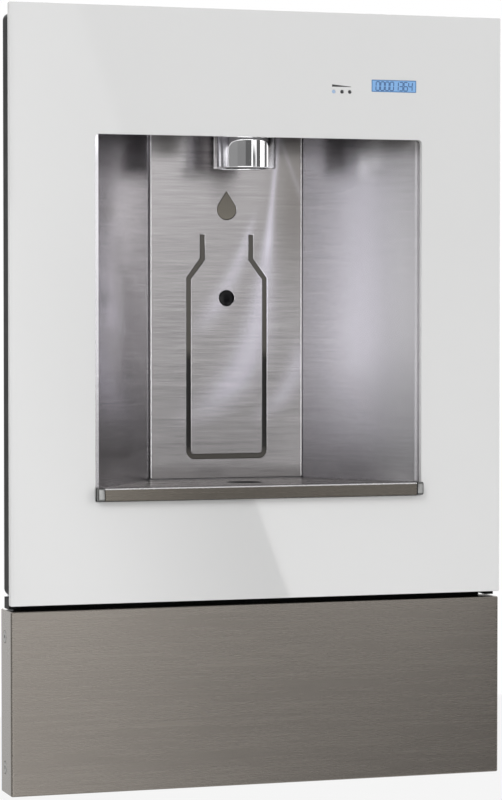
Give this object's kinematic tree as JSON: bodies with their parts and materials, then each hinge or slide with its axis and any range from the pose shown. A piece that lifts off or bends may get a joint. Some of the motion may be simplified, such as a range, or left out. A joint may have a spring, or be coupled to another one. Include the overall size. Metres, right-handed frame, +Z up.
{
  "type": "bottle filling station",
  "caption": "In-wall bottle filling station with a glass front, splayed steel alcove, nozzle, drip tray, lower cover, and a filter and solenoid valve in a wall box.",
  "frame": {"origin": "on the finished wall's surface, in the middle of the bottom wall flange's rear face", "axes": "+X to the right as one faces the station, +Y into the wall, +Z up"},
  "size_m": [0.425, 0.1411, 0.6381],
  "materials": {
    "white_glass": "back-painted gloss",
    "dark_carrier": "matt black paint",
    "cover_steel": "brushed along the width",
    "alcove_steel": "brushed along the width",
    "chrome_trim": "polished",
    "galvanised": "galvanised, dull spangle",
    "zinc_steel": "zinc plated",
    "brass": "machined",
    "white_plastic": "moulded",
    "grey_plastic": "moulded",
    "black_plastic": "gloss moulded",
    "black_rubber": "matt",
    "guide_plastic": "smoked, frosted",
    "display_blue": "backlit",
    "lamp_plastic": "smoked lens",
    "circuit_board": "solder mask",
    "tube_plastic": "milky tube",
    "red_plastic": "moulded handle",
    "blue_plastic": "moulded button"
  },
  "bodies": {
    "housing": {"front_glass": "white_glass", "glass_carrier": "dark_carrier", "mid_rail": "dark_carrier", "cover_brackets": "zinc_steel", "lcd_display": "display_blue", "display_board": "circuit_board", "lamp_lenses": "lamp_plastic", "alcove_shell": "alcove_steel", "alcove_ceiling": "alcove_steel", "target_plate": "alcove_steel", "light_guide": "guide_plastic", "lamp_board": "circuit_board", "sensor_lens": "black_plastic", "sensor_housing": "grey_plastic", "nozzle_body": "chrome_trim", "aerator": "chrome_trim", "nozzle_nut": "brass", "nozzle_elbow": "white_plastic", "drain_basin": "grey_plastic", "drain_strainer": "chrome_trim", "drain_washer": "black_rubber", "drain_locknut": "brass", "slip_nut": "chrome_trim", "drain_tailpiece": "chrome_trim", "chassis_sides": "galvanised", "chassis_back": "galvanised", "chassis_top": "galvanised", "chassis_bottom": "galvanised", "alcove_shelf": "galvanised", "chassis_rivets": "zinc_steel", "pan_screws": "zinc_steel", "inlet_valve": "brass", "valve_bracket": "zinc_steel", "inlet_tube": "tube_plastic", "filter_head": "white_plastic", "filtered_tube": "tube_plastic", "solenoid_body": "brass", "solenoid_coil": "black_plastic", "plunger_spring": "zinc_steel", "solenoid_elbows": "white_plastic", "regulator_tube": "tube_plastic", "flow_regulator": "white_plastic", "nozzle_tube": "tube_plastic", "control_box": "grey_plastic", "control_board": "circuit_board", "power_supply": "black_plastic", "cable_bushing": "black_plastic", "wiring_harness": "black_rubber", "grommets": "black_rubber"},
    "cover": {"lower_cover": "cover_steel", "cover_screws": "zinc_steel", "cover_nuts": "zinc_steel"},
    "tray": {"drip_tray": "alcove_steel", "tray_bar": "cover_steel", "tray_end_caps": "chrome_trim"},
    "cartridge": {"filter_cartridge": "white_plastic", "filter_seals": "black_rubber"},
    "stop_handle": {"valve_handle": "red_plastic"},
    "plunger": {"solenoid_plunger": "zinc_steel"},
    "button": {"reset_button": "blue_plastic"}
  },
  "joints": [
    {"name": "cover_pull", "type": "slide", "parent": "housing", "child": "cover", "axis": [0, -1, 0], "range_m": [0, 0.06]},
    {"name": "tray_pull", "type": "slide", "parent": "housing", "child": "tray", "axis": [0, -1, 0], "range_m": [0, 0.11]},
    {"name": "filter_turn", "type": "hinge", "parent": "housing", "child": "cartridge", "pos_m": [-0.12, 0.052, 0.1], "axis": [0, 0, 1], "range_deg": [0, 90]},
    {"name": "valve_turn", "type": "hinge", "parent": "housing", "child": "stop_handle", "pos_m": [0.06, 0.015, 0.063], "axis": [0, 1, 0], "range_deg": [0, 90]},
    {"name": "plunger_lift", "type": "slide", "parent": "housing", "child": "plunger", "axis": [0, 0, 1], "range_m": [0, 0.003], "stiffness_N_per_m": 300, "springref_m": -0.004, "deforming": ["plunger_spring"]},
    {"name": "reset_press", "type": "slide", "parent": "housing", "child": "button", "axis": [0, 1, 0], "range_m": [0, 0.0012], "stiffness_N_per_m": 1200, "springref_m": -0.0004}
  ]
}
